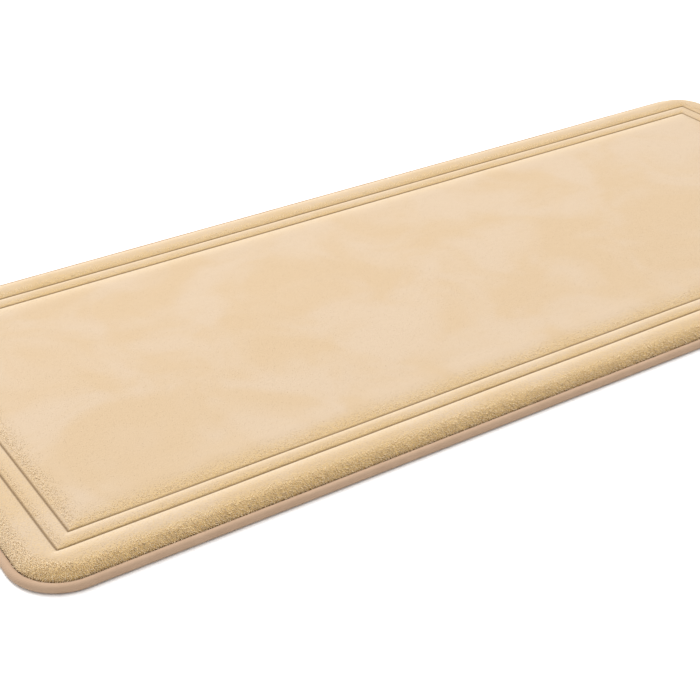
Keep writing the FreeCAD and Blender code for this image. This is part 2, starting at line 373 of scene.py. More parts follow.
@dataclass(frozen=True)
class PlainWeave(Finish):
    """Plain-woven polyester backing cloth: even, matt threads over and under."""

    title: str = "plain_woven_polyester"
    warp_hex: str = "c9b79f"
    weft_hex: str = "b8a58b"
    thread_mm: float = 1.1

    def surface(self, tree: bpy.types.NodeTree) -> bpy.types.Node:
        """Returns the cloth's shader. Its threads are drawn about three times as wide, to show."""
        place = add_node(tree, "ShaderNodeTexCoord").outputs["Object"]
        scale = 1 / (2 * self.thread_mm * MM) / WAVES_PER_UNIT
        warp = add_node(tree, "ShaderNodeTexWave", {
            "Vector": place, "Scale": scale, "Distortion": 0.6, "Detail": 1.0}, bands_direction="X")
        weft = add_node(tree, "ShaderNodeTexWave", {
            "Vector": place, "Scale": scale, "Distortion": 0.6, "Detail": 1.0}, bands_direction="Y")
        over = add_node(tree, "ShaderNodeMath", {
            0: warp.outputs["Fac"], 1: weft.outputs["Fac"]}, operation="MULTIPLY")
        slub = add_node(tree, "ShaderNodeTexNoise", {"Vector": place, "Scale": 140.0, "Detail": 3.0})
        tone = add_node(tree, "ShaderNodeMath", {
            0: slub.outputs["Fac"], 1: 0.6, 2: over}, operation="MULTIPLY_ADD", use_clamp=True)
        colour = add_node(tree, "ShaderNodeMix", {
            "Factor": tone, "A": linear(self.weft_hex), "B": linear(self.warp_hex)}, data_type="RGBA")
        bump = add_node(tree, "ShaderNodeBump", {"Height": over, "Strength": 0.5, "Distance": 0.3 * MM})
        return add_node(tree, "ShaderNodeBsdfPrincipled", {
            "Base Color": colour, "Roughness": 0.9, "Specular IOR Level": 0.2, "Normal": bump})


@dataclass(frozen=True)
class MouldedPvc(Finish):
    """Soft PVC plastisol, printed as drops and cured: satin, slightly milky."""

    title: str = "printed_pvc_plastisol"
    face_hex: str = "d8cbb6"
    cloudy_hex: str = "cbbca4"

    def surface(self, tree: bpy.types.NodeTree) -> bpy.types.Node:
        """Returns the dots' shader."""
        place = add_node(tree, "ShaderNodeTexCoord").outputs["Object"]
        cloud = add_node(tree, "ShaderNodeTexNoise", {"Vector": place, "Scale": 60.0, "Detail": 2.0})
        colour = add_node(tree, "ShaderNodeMix", {
            "Factor": cloud.outputs["Fac"], "A": linear(self.face_hex), "B": linear(self.cloudy_hex)},
            data_type="RGBA")
        skin = add_node(tree, "ShaderNodeTexNoise", {"Vector": place, "Scale": 1500.0, "Detail": 1.0})
        bump = add_node(tree, "ShaderNodeBump", {
            "Height": skin.outputs["Fac"], "Strength": 0.15, "Distance": 0.1 * MM})
        return add_node(tree, "ShaderNodeBsdfPrincipled", {
            "Base Color": colour, "Roughness": 0.42, "IOR": 1.53, "Normal": bump})


@dataclass(frozen=True)
class SpunThread(Finish):
    """Spun polyester sewing thread: two fine plies twisted, matt with a faint shine."""

    title: str
    face_hex: str
    ply_mm: float = 0.5

    def surface(self, tree: bpy.types.NodeTree) -> bpy.types.Node:
        """Returns the thread's shader."""
        place = add_node(tree, "ShaderNodeTexCoord").outputs["Object"]
        twist = add_node(tree, "ShaderNodeTexWave", {
            "Vector": place, "Scale": 1 / (self.ply_mm * MM) / WAVES_PER_UNIT, "Distortion": 0.5},
            bands_direction="DIAGONAL")
        pale = linear(self.face_hex)
        # The twist's hollows are darker: painted shade between the plies.
        tones = (toned(pale, 0.72), pale)
        return grained(tree, twist.outputs["Fac"], tones, 0.08, 0.5, {
            "Roughness": 0.6, "Sheen Weight": 0.1})


@dataclass(frozen=True)
class OpenCellFoam(Finish):
    """Slab-cut polyurethane foam: a matt surface of small open cells."""

    title: str
    wall_hex: str
    cell_mm: float

    def surface(self, tree: bpy.types.NodeTree) -> bpy.types.Node:
        """Returns the foam's shader."""
        place = add_node(tree, "ShaderNodeTexCoord").outputs["Object"]
        cells = add_node(tree, "ShaderNodeTexVoronoi", {"Vector": place, "Scale": 1 / (self.cell_mm * MM)})
        wall = linear(self.wall_hex)
        # The cells' hollows are darker: painted shade inside the open cells.
        tones = (toned(wall, 0.6), wall)
        return grained(tree, cells.outputs["Distance"], tones, 0.3, 0.6, {
            "Roughness": 0.95, "Specular IOR Level": 0.2})


@dataclass(frozen=True)
class CottonTwist(Finish):
    """Loosely twisted cotton filler cord: soft, off-white, with slanting strands."""

    title: str = "twisted_cotton"
    face_hex: str = "eee8da"
    shade_hex: str = "cfc6b2"
    strand_mm: float = 3.0

    def surface(self, tree: bpy.types.NodeTree) -> bpy.types.Node:
        """Returns the cord's shader."""
        place = add_node(tree, "ShaderNodeTexCoord").outputs["Object"]
        strands = add_node(tree, "ShaderNodeTexWave", {
            "Vector": place, "Scale": 1 / (self.strand_mm * MM) / WAVES_PER_UNIT, "Distortion": 0.8},
            bands_direction="DIAGONAL")
        # The darker tone lies in the hollows between the strands: painted shade.
        tones = (linear(self.shade_hex), linear(self.face_hex))
        return grained(tree, strands.outputs["Fac"], tones, 0.4, 0.6, {"Roughness": 0.9})


@dataclass(frozen=True)
class FloorPaint(Finish):
    """Matt white studio paint, which shows only the mat's own shadow."""

    title: str = "white_floor_paint"
    face_hex: str = "f9f9f9"

    def surface(self, tree: bpy.types.NodeTree) -> bpy.types.Node:
        """Returns the paint's shader."""
        return add_node(tree, "ShaderNodeBsdfPrincipled", {
            "Base Color": linear(self.face_hex), "Roughness": 0.9, "Specular IOR Level": 0.1})


# The mat's outline, and sheets laid out on it


@dataclass(frozen=True)
class Outline:
    """The mat's rounded outline, with the two stitch lines inside it."""

    half_x: float
    half_y: float
    outer_groove: float
    inner_groove: float

    @classmethod
    def from_frame(cls) -> "Outline":
        """Reads the outline and the stitch lines' insets from the CAD nodes' boxes."""
        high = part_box("piping_tape")[1]

        def inset(node: str) -> float:
            """A stitch line's inset, from its thread's box."""
            thread_low, thread_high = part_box(node)
            radius = (thread_high.z - thread_low.z) / 2
            return high.x - (thread_high.x - radius)

        return cls(high.x, high.y, inset("outer_quilting_thread"), inset("inner_quilting_thread"))

    @property
    def corner_radius(self) -> float:
        """Radius of the outermost corner, whose centre is midway between the stitch lines."""
        return (self.outer_groove + self.inner_groove) / 2

    def inset_of(self, points: np.ndarray) -> np.ndarray:
        """Measures how far in from the outermost edge each point is, seen from above.

        Args:
            points: Points, one row each.

        Returns:
            Their insets.
        """
        radius = self.corner_radius
        gap = np.array([self.half_x, self.half_y]) - np.abs(points[:, :2])
        corner = np.all(gap < radius, axis=1)
        rounded = radius - np.linalg.norm(radius - gap, axis=1)
        return np.where(corner, rounded, gap.min(axis=1))

    def from_stitching(self, insets: np.ndarray) -> np.ndarray:
        """Distance from each inset to the nearer stitch line."""
        lines = np.array([self.outer_groove, self.inner_groove])
        return np.abs(insets[:, None] - lines).min(axis=1)

    def stations(self, spacing: float) -> tuple[np.ndarray, np.ndarray]:
        """Places round the outline, anticlockwise from above.

        Args:
            spacing: Distance between places along the outermost edge.

        Returns:
            Anchors on the rectangle of the corners' centres, and outward unit vectors.
        """
        radius = self.corner_radius
        x, y = self.half_x - radius, self.half_y - radius
        corners = [(x, -y), (x, y), (-x, y), (-x, -y)]
        arc_steps = math.ceil(radius * math.pi / 2 / spacing)
        anchors, outwards = [], []
        for turn, corner in enumerate(corners):
            start = -math.pi / 2 + turn * math.pi / 2
            for step in range(arc_steps):
                angle = start + step / arc_steps * math.pi / 2
                anchors.append(corner)
                outwards.append((math.cos(angle), math.sin(angle)))
            following = corners[(turn + 1) % len(corners)]
            run = math.dist(corner, following)
            run_steps = math.ceil(run / spacing)
            angle = start + math.pi / 2
            for step in range(run_steps):
                share = step / run_steps
                anchors.append(tuple(a + (b - a) * share for a, b in zip(corner, following)))
                outwards.append((math.cos(angle), math.sin(angle)))
        return np.array(anchors), np.array(outwards)


@dataclass
class Sheet:
    """A sheet laid on the outline as a grid, whose edge lines follow the outline.

    profile holds the sheet's edge lines from its rim inwards, as (inset, height). One of
    them stands at the corner radius. Lines outside it turn each corner on an arc, which
    squares off towards the corner's centre, and lines inside it turn square. square_within
    is the reach over which a corner turns from round to square, and pitch the widest gap
    between lines in the sheet's middle.
    """

    outline: Outline
    profile: list[tuple[float, float]]
    pitch: float
    square_within: float
    points: np.ndarray = field(init=False)
    ring: np.ndarray = field(init=False)

    def __post_init__(self) -> None:
        """Works out every point of the grid, and which edge line it is on."""
        insets = np.array([inset for inset, _ in self.profile])
        heights = np.array([height for _, height in self.profile])
        x, ring_x = self._axis(self.outline.half_x, insets)
        y, ring_y = self._axis(self.outline.half_y, insets)
        grid_x, grid_y = np.meshgrid(x, y, indexing="ij")
        depth_x, depth_y = np.meshgrid(ring_x, ring_y, indexing="ij")
        self.ring = np.minimum(depth_x, depth_y)
        radius = self.outline.corner_radius
        centre = int(np.argmin(np.abs(insets - radius)))
        steps = np.hypot(np.diff(insets), np.diff(heights))
        travelled = np.concatenate([[0.0], np.cumsum(steps)])
        across = travelled[centre] - travelled[np.minimum(depth_x, centre)]
        along = travelled[centre] - travelled[np.minimum(depth_y, centre)]
        in_corner = (across > 0) & (along > 0)
        larger = np.where(in_corner, np.maximum(across, along), 1.0)
        angle = math.pi / 4 * np.minimum(across, along) / larger
        angle = np.where(across >= along, angle, math.pi / 2 - angle)
        reach = radius - insets[self.ring]
        round_x = np.sign(grid_x) * (self.outline.half_x - radius + reach * np.cos(angle))
        round_y = np.sign(grid_y) * (self.outline.half_y - radius + reach * np.sin(angle))
        share = np.where(in_corner, np.clip(reach / self.square_within, 0, 1) ** 2, 0.0)
        self.points = np.stack([
            grid_x + (round_x - grid_x) * share,
            grid_y + (round_y - grid_y) * share,
            heights[self.ring],
        ], axis=-1)

    def _axis(self, half: float, insets: np.ndarray) -> tuple[np.ndarray, np.ndarray]:
        """Lays the grid's lines out along one axis.

        Args:
            half: Half of the mat's size along the axis.
            insets: The edge lines' insets.

        Returns:
            The lines' places, and for each the edge line it belongs to.
        """
        inner = half - insets[-1]
        count = max(2, math.ceil(2 * inner / self.pitch))
        middle = np.linspace(-inner, inner, count + 1)[1:-1]
        places = np.concatenate([insets - half, middle, (half - insets)[::-1]])
        order = np.arange(len(insets))
        rings = np.concatenate([order, np.full(len(middle), len(insets) - 1), order[::-1]])
        return places, rings

    def line(self, inset: float) -> int:
        """Index of the edge line at an inset."""
        return int(np.argmin([abs(place - inset) for place, _ in self.profile]))

    def loop(self, index: int) -> list[tuple[int, int]]:
        """Grid places round one edge line, anticlockwise from above."""
        return grid_loop(*self.points.shape[:2], index)

    def number(self, place: tuple[int, int]) -> int:
        """A grid place's vertex number."""
        return place[0] * self.points.shape[1] + place[1]

    def faces(self) -> list[tuple[int, ...]]:
        """The grid's quads, facing up."""
        return grid_quads(*self.points.shape[:2])


def mesh_object(name: str, points: np.ndarray, faces: list,
                material: bpy.types.Material | None) -> bpy.types.Object:
    """Makes a smooth-shaded mesh object at the origin.

    Args:
        name: The piece's name.
        points: Its vertices, one row each.
        faces: Its faces, as vertex numbers.
        material: Its finish, if it has one yet.

    Returns:
        The object, linked to the scene.
    """
    mesh = bpy.data.meshes.new(name)
    mesh.from_pydata([tuple(point) for point in points], [], faces)
    mesh.validate()
    mesh.polygons.foreach_set("use_smooth", [True] * len(mesh.polygons))
    if material:
        mesh.materials.append(material)
    piece = bpy.data.objects.new(name, mesh)
    bpy.context.scene.collection.objects.link(piece)
    return piece


def settle(piece: bpy.types.Object) -> None:
    """Turns an object's evaluated shape into its plain mesh, and removes its modifiers."""
    graph = bpy.context.evaluated_depsgraph_get()
    made = bpy.data.meshes.new_from_object(piece.evaluated_get(graph), depsgraph=graph)
    made.name = piece.name
    piece.modifiers.clear()
    piece.data = made


def declare(piece: bpy.types.Object, slot: str, *nodes: str) -> None:
    """Rides a piece on the mat and hides the CAD nodes that it stands for.

    Args:
        piece: The finished piece.
        slot: A material slot's name; not used.
        *nodes: CAD nodes that it replaces.
    """
    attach(piece, BODY)
    if nodes:
        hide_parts(*nodes)
    LOG.info("%s: %d faces", piece.name, len(piece.data.polygons))


# Sub-assemblies


@dataclass
class PlushCover:
    """The quilted plush cover, puffed by cloth simulation between its lines of stitching.

    nap is the way the pile lies, seen from above; the key lamp hangs behind the mat, close to
    that way. ruffled_from is a second way, against which its slopes are ruffled. A slope is
    measured by how far its normal leans, so 0 is level and 1 upright. The pile starts to part
    at parted_from and is parted over the next parted_over; the same measure also lays painted
    shade on slopes that face away from the key lamp. A slope that leans with the nap, towards
    the lamp, gets its full painted highlight at highlight_over, and a slope is fully ruffled
    at ruffled_over.
    """

    outline: Outline
    finish: PlushPile = field(default_factory=PlushPile)
    cloth: float = 1.6 * MM
    foot_height: float = 7.2 * MM
    thread_rise: float = 0.45 * MM
    band_rise: float = 2.5 * MM
    pitch: float = 13.5 * MM
    pressure: float = 4.0
    most_swell: float = 0.45 * MM
    frames: int = 20
    nap: tuple[float, float] = (0.2, 0.98)
    ruffled_from: tuple[float, float] = (0.9, 0.44)
    parted_from: float = 0.05
    parted_over: float = 0.78
    highlight_over: float = 0.5
    ruffled_over: float = 0.22
    worked_to: float = 86.0 * MM
    worked_over: float = 20.0 * MM
    broad_rise_mm: float = 0.35
    broad_per_metre: float = 9.0
    close_rise_mm: float = 0.16
    close_per_metre: float = 34.0
    # Strength of the painted crease shade at a stitch, its reach, and its strength along the foot.
    stitch_shade: float = 1.25
    stitch_reach: float = 1.2 * MM
    foot_shade: float = 0.35
    sheet: Sheet = field(init=False)
    piece: bpy.types.Object = field(init=False)

    def profile(self) -> list[tuple[float, float]]:
        """The cover's edge lines: turned-in edge, border, band and the field's shoulder."""
        low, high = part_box("top_cover")
        top = high.z
        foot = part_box("piping_tape")[1].x - high.x
        thread_low, thread_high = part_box("outer_quilting_thread")
        groove = (thread_low.z + thread_high.z) / 2 - self.thread_rise
        outer, inner = self.outline.outer_groove, self.outline.inner_groove
        crest = self.outline.corner_radius
        turned_in = [(ALLOWANCE_END, low.z)] + edge_lines(low.z, [(12.0, 0.0), (9.3, 0.3)])
        border = [(foot, self.foot_height)]
        border += edge_lines(0.0, [(8.7, 8.9), (10.4, 10.7), (12.9, 12.7), (16.0, 14.5), (20.0, 16.1)])
        border += edge_lines(top, [(25.0, -0.7), (31.0, -0.7), (36.0, -1.3)])
        border += edge_lines(groove, [(39.5, 1.9), (41.2, 1.1), (42.3, 0.45)])
        band = [(outer, groove)]
        band += edge_lines(groove, [(43.8, 0.45), (44.8, 1.0), (46.5, 1.7), (49.0, 2.3)])
        band += [(crest, groove + self.band_rise)]
        band += edge_lines(groove, [(55.0, 2.3), (57.5, 1.7), (59.2, 1.0), (60.2, 0.45)])
        shoulder = [(inner, groove)]
        shoulder += edge_lines(groove, [(61.8, 0.5), (62.8, 1.1), (65.0, 2.0)])
        shoulder += edge_lines(top, [(69.0, -1.2), (75.0, -0.5), (84.0, -0.1), (96.0, 0.0)])
        return turned_in + border + band + shoulder

    def build(self) -> bpy.types.Object:
        """Builds, puffs and finishes the cover.

        Returns:
            The finished piece.
        """
        self.sheet = Sheet(self.outline, self.profile(), self.pitch, SQUARING_REACH)
        self._puff()
        self._unevenness()
        points = self.sheet.points.reshape(-1, 3)
        self.piece = mesh_object("plush_cover", points, self.sheet.faces(), self.finish.build())
        self._crease()
        shell = self.piece.modifiers.new("cloth_thickness", "SOLIDIFY")
        shell.thickness = self.cloth
        shell.offset = -1.0
        shell.use_even_offset = False
        smooth = self.piece.modifiers.new("smooth_cloth", "SUBSURF")
        smooth.levels = smooth.render_levels = 1
        settle(self.piece)
        self._part_pile()
        declare(self.piece, "plush_cloth", "top_cover")
        return self.piece

    def _stitch_rings(self) -> list[int]:
        """The edge lines that are sewn down: the two quilting lines."""
        return [self.sheet.line(self.outline.outer_groove), self.sheet.line(self.outline.inner_groove)]

    def _puff(self) -> None:
        """Swells the cover by cloth simulation, held at its stitching, its foot and its field."""
        rings = self.sheet.ring
        field_line = len(self.sheet.profile) - 1
        held = (rings <= FOOT_LINE) | np.isin(rings, self._stitch_rings()) | (rings == field_line)
        start = self.sheet.points.reshape(-1, 3).copy()
        rim = [self.sheet.number(place) for place in self.sheet.loop(0)]
        pad = mesh_object("pad_in_simulation", start, self.sheet.faces() + [tuple(rim[::-1])], None)
        group = pad.vertex_groups.new(name="held")
        group.add(np.flatnonzero(held.ravel()).tolist(), 1.0, "REPLACE")
        cloth = pad.modifiers.new("cloth", "CLOTH")
        settings = {
            "quality": 4, "mass": 0.3, "tension_stiffness": 12.0, "compression_stiffness": 12.0,
            "shear_stiffness": 5.0, "bending_stiffness": 0.4, "use_pressure": True,
            "uniform_pressure_force": self.pressure, "vertex_group_mass": "held", "pin_stiffness": 1.0,
        }
        for name, value in settings.items():
            setattr(cloth.settings, name, value)
        cloth.settings.effector_weights.gravity = 0.0
        cloth.collision_settings.use_collision = False
        cloth.point_cache.frame_start = 1
        cloth.point_cache.frame_end = self.frames
        scene = bpy.context.scene
        for frame_number in range(1, self.frames + 1):
            scene.frame_set(frame_number)
        graph = bpy.context.evaluated_depsgraph_get()
        swell = vectors(pad.evaluated_get(graph).data.vertices, "co") - start
        size = np.linalg.norm(swell, axis=1, keepdims=True)
        LOG.info("cloth: swell up to %.2f mm before its limit", size.max() / MM)
        limited = self.most_swell * np.tanh(size / self.most_swell)
        swell *= np.where(size > 0, limited / np.maximum(size, 1e-9), 0)
        swell[held.ravel()] = 0
        self.sheet.points = (start + swell).reshape(self.sheet.points.shape)
        scene.frame_set(1)
        bpy.data.objects.remove(pad)

    def _unevenness(self) -> None:
        """Lifts and sinks the cloth a little, as foam and sewing leave it."""
        rings = self.sheet.ring
        free = ~np.isin(rings, self._stitch_rings()) & (rings > FOOT_LINE)
        for place in zip(*np.nonzero(free)):
            point = self.sheet.points[place]
            broad = noise.noise(Vector((*(point[:2] * self.broad_per_metre), 0.3)))
            close = noise.noise(Vector((*(point[:2] * self.close_per_metre), 5.1)))
            self.sheet.points[place][2] += (self.broad_rise_mm * broad + self.close_rise_mm * close) * MM

    def _crease(self) -> None:
        """Keeps the stitching sharp when the cloth is smoothed, and stores painted shade: dark in the
        creases at the stitch lines, lighter along the foot.
        """
        mesh = self.piece.data
        sewn = set()
        for ring in self._stitch_rings():
            loop = [self.sheet.number(place) for place in self.sheet.loop(ring)]
            sewn |= {frozenset(pair) for pair in zip(loop, loop[1:] + loop[:1])}
        crease = mesh.attributes.new("crease_edge", "FLOAT", "EDGE")
        crease.data.foreach_set("value", [float(frozenset(edge.vertices) in sewn) for edge in mesh.edges])
        insets = np.array([inset for inset, _ in self.sheet.profile])[self.sheet.ring].ravel()
        away = self.outline.from_stitching(insets)
        # Painted crease shade: full at the stitch lines, fading within stitch_reach; the foot gets a
        # lighter share.
        painted_crease_shade = np.clip(self.stitch_shade - away / self.stitch_reach, 0, 1)
        painted_crease_shade[self.sheet.ring.ravel() <= FOOT_LINE] = self.foot_shade
        store(mesh, {"painted_crease_shade": painted_crease_shade})

    def _part_pile(self) -> None:
        """Stores painted shade where a slope parts the pile, a painted highlight where it leans with the
        nap, ruffling and working.
        """
        mesh = self.piece.data
        slope = vectors(mesh.vertices, "normal")[:, :2]
        against = -(slope @ np.array(self.nap))
        ruffled = -(slope @ np.array(self.ruffled_from))
        inset = self.outline.inset_of(vectors(mesh.vertices, "co"))
        store(mesh, {
            # Slopes facing away from the key lamp: the pile parts there, and the colour takes painted
            # shade.
            "parted_and_shaded": np.clip((against - self.parted_from) / self.parted_over, 0, 1),
            # Slopes leaning with the nap, towards the key lamp, get a painted highlight.
            "painted_highlight": np.clip(-against / self.highlight_over, 0, 1),
            "ruffled": np.clip(ruffled / self.ruffled_over, 0, 1),
            "worked": np.clip((self.worked_to - inset) / self.worked_over, 0, 1),
        })

    def stitch_path(self, inset: float) -> np.ndarray:
        """Points along a quilting line, as the cover lies after its puffing."""
        index = self.sheet.line(inset)
        return np.array([self.sheet.points[place] for place in self.sheet.loop(index)])


@dataclass
class FoamCore:
    """The soft upper foam, which fills the cover down to the firm foam's flat slab."""

    cover: PlushCover
    gap: float = 0.2 * MM

    def build(self) -> None:
        """Builds the foam to the cover's inside."""
        low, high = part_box("memory_foam")
        first = FOOT_LINE + 1
        top = self.cover.sheet.points[first:-first, first:-first].copy()
        top[..., 0] = np.clip(top[..., 0], self.gap - high.x, high.x - self.gap)
        top[..., 1] = np.clip(top[..., 1], self.gap - high.y, high.y - self.gap)
        top[..., 2] = np.maximum(top[..., 2] - self.cover.cloth - self.gap, low.z + self.gap)
        under = top.copy()
        under[..., 2] = low.z
        columns, rows = top.shape[:2]
        count = columns * rows
        faces = grid_quads(columns, rows)
        faces += [tuple(count + number for number in quad[::-1]) for quad in faces]
        rim = [i * rows + j for i, j in grid_loop(columns, rows)]
        for here, there in zip(rim, rim[1:] + rim[:1]):
            faces.append((here, count + here, count + there, there))
        points = np.concatenate([top.reshape(-1, 3), under.reshape(-1, 3)])
        foam = OpenCellFoam("viscoelastic_foam", "f0e4bd", 1.2).build()
        soft = mesh_object("soft_foam", points, faces, foam)
        declare(soft, "memory_foam", "memory_foam")


@dataclass
class Piping:
    """The piping: a cloth tape wrapped round a filler cord, with its sewn flange."""

    outline: Outline
    finish: BrushedKnit = field(default_factory=BrushedKnit)
    spacing: float = 3.5 * MM
    around: int = 22
    tape_width: float = 46.0 * MM
    slow_pucker_mm: float = 0.12
    straight_pucker_mm: float = 0.10
    corner_pucker_mm: float = 0.16
    slow_per_metre: float = 30.0
    quick_per_metre: float = 260.0
    section_step_mm: float = 1.2
    flange_low: float = 3.4 * MM
    flange_high: float = 4.6 * MM

    def build(self) -> bpy.types.Object:
        """Sweeps the tape's section round the mat, a little puckered, most of all in corners.

        Returns:
            The finished piece.
        """
        low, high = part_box("piping_tape")
        radius = (high.z - low.z) / 2
        cord_low, cord_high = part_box("piping_cord")
        hollow = (cord_high.z - cord_low.z) / 2
        anchors, outwards = self.outline.stations(self.spacing)
        upper = math.asin((self.flange_high - radius) / radius)
        lower = math.asin((self.flange_low - radius) / radius)
        sweep = np.linspace(math.pi - upper, -math.pi - lower, self.around)
        outside = [
            (radius - radius * math.cos(angle), radius + radius * math.sin(angle)) for angle in sweep]
        skin = [(ALLOWANCE_END, self.flange_high), *outside, (ALLOWANCE_END, self.flange_low)]
        turns = np.linspace(0, 2 * math.pi, self.around, endpoint=False)
        tunnel = [
            (radius - hollow * math.cos(angle), radius + hollow * math.sin(angle)) for angle in turns]
        points, faces, lengths = [], [], []
        travelled = 0.0
        count = len(anchors)
        corner_radius = self.outline.corner_radius
        for index, (anchor, outward) in enumerate(zip(anchors, outwards)):
            here = anchor + outward * corner_radius
            before = anchors[index - 1] + outwards[index - 1] * corner_radius
            travelled += float(np.linalg.norm(here - before)) if index else 0.0
            ripple = self._ripple(here, travelled, bool(np.any(anchor != anchors[(index + 1) % count])))
            for inset, height in skin:
                flat = anchor + outward * (corner_radius - inset + ripple * (inset < 2 * radius))
                points.append((flat[0], flat[1], max(height + ripple * (height > radius), low.z)))
            for inset, height in tunnel:
                flat = anchor + outward * (corner_radius - inset)
                points.append((flat[0], flat[1], height))
            lengths.append(travelled)
        per_station = len(skin) + len(tunnel)
        for index in range(count):
            this = index * per_station
            following = (index + 1) % count * per_station
            faces += self._band(this, following, range(len(skin)), False)
            faces += self._band(this, following, range(len(skin), per_station), True)
        piece = mesh_object("piping_tape_cloth", np.array(points), faces, self.finish.build())
        self._lay_uv(piece, lengths, per_station)
        declare(piece, "piping_cloth", "piping_tape")
        return piece

    def _ripple(self, place: np.ndarray, travelled: float, straight: bool) -> float:
        """Finds how far the tape puckers at a place.

        Args:
            place: The place on the outline.
            travelled: The distance to it round the outline.
            straight: Whether it is on a straight stretch.

        Returns:
            A rise, which is negative because the tape is drawn in.
        """
        strength = self.straight_pucker_mm if straight else self.corner_pucker_mm
        slow = noise.noise(Vector((*(place * self.slow_per_metre), 1.7)))
        quick = noise.noise(Vector((travelled * self.quick_per_metre, 0.0, 8.2)))
        return -(abs(slow) * self.slow_pucker_mm + abs(quick) * strength) * MM

    def _band(self, this: int, following: int, section: range, inward: bool) -> list[tuple[int, ...]]:
        """Joins two stations along one closed part of the section.

        Args:
            this: First vertex of one station.
            following: First vertex of the next station.
            section: The part of the section.
            inward: Whether the faces look into the tape's tunnel.

        Returns:
            The quads between them.
        """
        numbers = list(section)
        quads = []
        for a, b in zip(numbers, numbers[1:] + numbers[:1]):
            quad = (this + a, following + a, following + b, this + b)
            quads.append(quad[::-1] if inward else quad)
        return quads

    def _lay_uv(self, piece: bpy.types.Object, lengths: list[float], per_station: int) -> None:
        """Lays the cloth's pattern along the tape, in millimetres each way.

        Args:
            piece: The tape.
            lengths: Each station's distance round the mat.
            per_station: Vertices in a station.
        """
        mesh = piece.data
        layer = mesh.uv_layers.new(name="along_mm")
        for loop in mesh.loops:
            station, step = divmod(loop.vertex_index, per_station)
            layer.data[loop.index].uv = (lengths[station] / MM, step * self.section_step_mm)


@dataclass
class Backing:
    """The backing cloth, drawn up a little where the quilting is sewn through it."""

    outline: Outline
    finish: PlainWeave = field(default_factory=PlainWeave)
    draw_up: float = 0.45 * MM
    thickness: float = 0.9 * MM
    pitch: float = 12.0 * MM

    def build(self) -> bpy.types.Object:
        """Lays the cloth, with its edge folded up and in.

        Returns:
            The finished piece.
        """
        low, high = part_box("backing_fabric")
        edge = self.outline.half_x - high.x
        folded = [
            (ALLOWANCE_END, high.z), (13.0 * MM, high.z), (edge + 0.8 * MM, high.z),
            (edge + 0.1 * MM, high.z - 0.5 * MM), (edge, 2.1 * MM),
            (edge + 0.1 * MM, low.z + 0.5 * MM), (edge + 0.8 * MM, low.z),
        ]
        flat = edge_lines(low.z, [(13.0, 0.0), (20.0, 0.0), (30.0, 0.0), (38.0, 0.05), (41.0, 0.2)])
        drawn_up = [
            (self.outline.outer_groove, low.z + self.draw_up), (45.0 * MM, low.z + 0.2 * MM),
            (self.outline.corner_radius, low.z + 0.05 * MM), (59.0 * MM, low.z + 0.2 * MM),
            (self.outline.inner_groove, low.z + self.draw_up),
        ]
        middle = edge_lines(low.z, [(63.0, 0.2), (67.0, 0.05), (74.0, 0.0), (84.0, 0.0)])
        rows = folded + flat + drawn_up + middle
        sheet = Sheet(self.outline, rows, self.pitch, SQUARING_REACH)
        faces = [quad[::-1] for quad in sheet.faces()]
        piece = mesh_object("backing_cloth", sheet.points.reshape(-1, 3), faces, self.finish.build())
        shell = piece.modifiers.new("cloth_thickness", "SOLIDIFY")
        shell.thickness = self.thickness
        shell.offset = -1.0
        settle(piece)
        declare(piece, "backing_cloth", "backing_fabric")
        return piece


class Repeat:
    """A Geometry Nodes tree with named inputs, run on a mesh and turned into a plain one."""

    KINDS = {"Seed": "NodeSocketInt", "Material": "NodeSocketMaterial"}

    def __init__(self, name: str, *inputs: str) -> None:
        """Starts a tree with its inputs.

        Args:
            name: The tree's name.
            *inputs: Names of its inputs: lengths and the like, "Seed" and "Material".
        """
        self.tree = bpy.data.node_groups.new(name, "GeometryNodeTree")
        self.tree.interface.new_socket("Geometry", in_out="INPUT", socket_type="NodeSocketGeometry")
        self.tree.interface.new_socket("Geometry", in_out="OUTPUT", socket_type="NodeSocketGeometry")
        self.identifiers: dict[str, str] = {}
        for title in inputs:
            kind = self.KINDS.get(title, "NodeSocketFloat")
            socket = self.tree.interface.new_socket(title, in_out="INPUT", socket_type=kind)
            self.identifiers[title] = socket.identifier
        self.given = add_node(self.tree, "NodeGroupInput").outputs

    def close(self, geometry: bpy.types.Node) -> None:
        """Ends the tree: instances made real, dressed, and sent out."""
        real = add_node(self.tree, "GeometryNodeRealizeInstances", {"Geometry": geometry})
        smooth = add_node(self.tree, "GeometryNodeSetShadeSmooth", {"Geometry": real})
        dressed = add_node(self.tree, "GeometryNodeSetMaterial", {
            "Geometry": smooth, "Material": self.given["Material"]})
        add_node(self.tree, "NodeGroupOutput", {"Geometry": dressed})

    def run(self, piece: bpy.types.Object, values: dict) -> None:
        """Runs the tree on a piece and leaves the result as its mesh.

        Args:
            piece: The object whose mesh goes in.
            values: Input name to value.
        """
        modifier = piece.modifiers.new(self.tree.name, "NODES")
        modifier.node_group = self.tree
        for name, value in values.items():
            modifier[self.identifiers[name]] = value
        bpy.context.view_layer.update()
        settle(piece)


